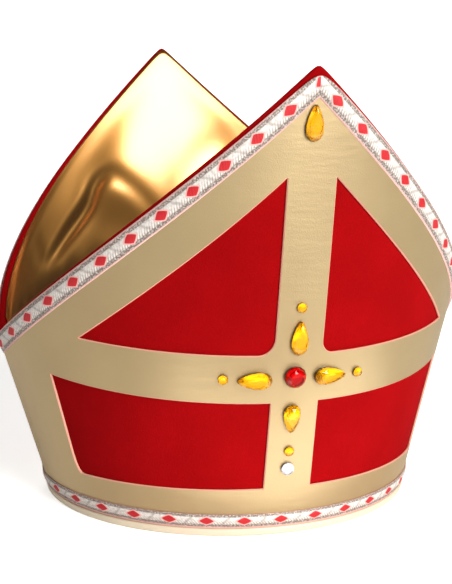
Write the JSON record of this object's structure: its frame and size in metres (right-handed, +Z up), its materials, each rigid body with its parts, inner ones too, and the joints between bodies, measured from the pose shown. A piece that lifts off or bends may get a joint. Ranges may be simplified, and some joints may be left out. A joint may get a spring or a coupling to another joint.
{
  "type": "bishop mitre",
  "caption": "Tall pointed ceremonial hat: two velvet shields with a gold cut-out cross, woven braid, satin lining between the horns and cut acrylic stones.",
  "frame": {"origin": "under the middle of the mitre's box, on the surface that its rim stands on", "axes": "+Z up, -Y towards the front with the stones, +X to the right as seen from the front"},
  "size_m": [0.2654, 0.273, 0.2406],
  "materials": {
    "velvet": "short-pile red velvet over stiff board",
    "gold_leatherette": "satin-matt gold leatherette, fine grain",
    "braid": "silver-white woven braid with red lozenges",
    "satin": "gold satin, glossy",
    "amber_acrylic": "cut amber acrylic with a foil back",
    "red_acrylic": "cut red acrylic with a foil back",
    "clear_acrylic": "cut clear acrylic with a foil back"
  },
  "bodies": {
    "root": {"front_shield": "velvet", "rear_shield": "velvet", "front_gold_panel": "gold_leatherette", "rear_gold_panel": "gold_leatherette", "front_edge_braid": "braid", "rear_edge_braid": "braid", "rim_braid": "braid", "rim_binding": "gold_leatherette", "front_satin_lining": "satin", "rear_satin_lining": "satin", "stone_peak_drop": "amber_acrylic", "stone_upper_drop": "amber_acrylic", "stone_lower_drop": "amber_acrylic", "stone_left_drop": "amber_acrylic", "stone_right_drop": "amber_acrylic", "stone_centre_round": "red_acrylic", "stone_upper_small": "amber_acrylic", "stone_lower_small": "amber_acrylic", "stone_left_small": "amber_acrylic", "stone_right_small": "amber_acrylic", "stone_foot_clear": "clear_acrylic"}
  },
  "joints": []
}
